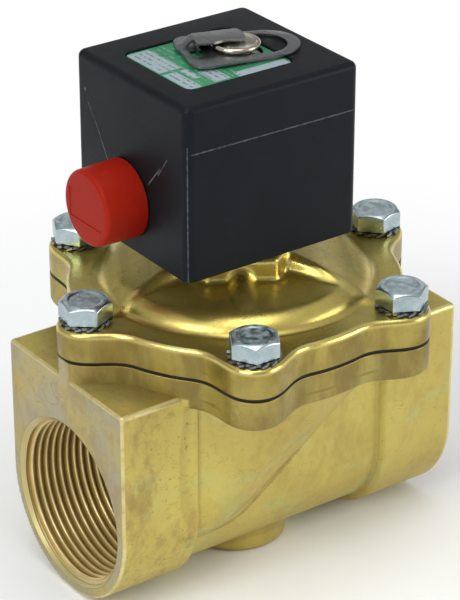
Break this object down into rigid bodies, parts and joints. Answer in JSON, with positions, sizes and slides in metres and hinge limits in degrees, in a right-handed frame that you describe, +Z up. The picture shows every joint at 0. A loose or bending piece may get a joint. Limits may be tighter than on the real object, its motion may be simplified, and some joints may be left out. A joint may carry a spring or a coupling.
{
  "type": "solenoid valve",
  "caption": "Pilot-operated solenoid valve: cast brass body with threaded ports, bolted bonnet over a diaphragm, square black coil held by a spring clip, red cap on the conduit entry.",
  "frame": {"origin": "under the centre of the body, on the plane that the pipe ends and the bottom boss rest on", "axes": "+Z up along the core tube and the bolt circle's axis, +X along the flow from inlet to outlet, +Y across the flow"},
  "size_m": [0.114, 0.1006, 0.1511],
  "materials": {
    "cast_brass": "sand cast, tumbled, lightly stained",
    "polished_brass": "hot pressed, satin",
    "zinc_plate": "bright zinc plate",
    "stainless": "turned",
    "spring_steel": "stamped",
    "soft_iron": "machined",
    "copper": "enamelled copper",
    "black_rubber": "matt",
    "black_coating": "fine grain moulding",
    "bobbin_plastic": "moulded",
    "red_plastic": "soft moulding",
    "printed_plate": "printed foil"
  },
  "bodies": {
    "valve": {"valve_body": "cast_brass", "diaphragm": "black_rubber", "main_spring": "stainless", "bonnet": "polished_brass", "bonnet_bolt_1": "zinc_plate", "bonnet_bolt_2": "zinc_plate", "bonnet_bolt_3": "zinc_plate", "bonnet_bolt_4": "zinc_plate", "bonnet_bolt_5": "zinc_plate", "bonnet_bolt_6": "zinc_plate", "lock_washer_1": "zinc_plate", "lock_washer_2": "zinc_plate", "lock_washer_3": "zinc_plate", "lock_washer_4": "zinc_plate", "lock_washer_5": "zinc_plate", "lock_washer_6": "zinc_plate", "tube_o_ring": "black_rubber", "core_tube": "stainless", "core_stop": "soft_iron", "shading_ring": "copper", "core_spring": "stainless", "spring_washer": "spring_steel"},
    "coil": {"coil_housing": "black_coating", "coil_base_plate": "soft_iron", "yoke": "soft_iron", "bobbin": "bobbin_plastic", "coil_winding": "copper", "nameplate": "printed_plate", "conduit_spigot": "zinc_plate"},
    "cap": {"conduit_cap": "red_plastic"},
    "clip": {"retaining_clip": "spring_steel"},
    "core": {"core": "soft_iron", "pilot_seal": "black_rubber"},
    "main_disc": {"main_seal": "black_rubber", "lower_support_plate": "polished_brass", "upper_support_plate": "stainless", "disc_stem": "stainless", "disc_nut": "stainless"}
  },
  "joints": [
    {"name": "coil_turn", "type": "hinge", "parent": "valve", "child": "coil", "pos_m": [0, 0, 0.09823], "axis": [0, 0, 1], "continuous": true},
    {"name": "cap_pull", "type": "slide", "parent": "coil", "child": "cap", "axis": [-1, 0, 0], "range_m": [0, 0.0113]},
    {"name": "clip_slide", "type": "slide", "parent": "valve", "child": "clip", "axis": [-0.9532, 0.3024, 0], "range_m": [0, 0.0071]},
    {"name": "core_lift", "type": "slide", "parent": "valve", "child": "core", "axis": [0, 0, 1], "range_m": [0, 0.003], "stiffness_N_per_m": 300, "springref_m": -0.01, "deforming": ["core_spring"]},
    {"name": "main_lift", "type": "slide", "parent": "valve", "child": "main_disc", "axis": [0, 0, 1], "range_m": [0, 0.007], "stiffness_N_per_m": 800, "springref_m": -0.01, "deforming": ["main_spring", "diaphragm"]}
  ]
}
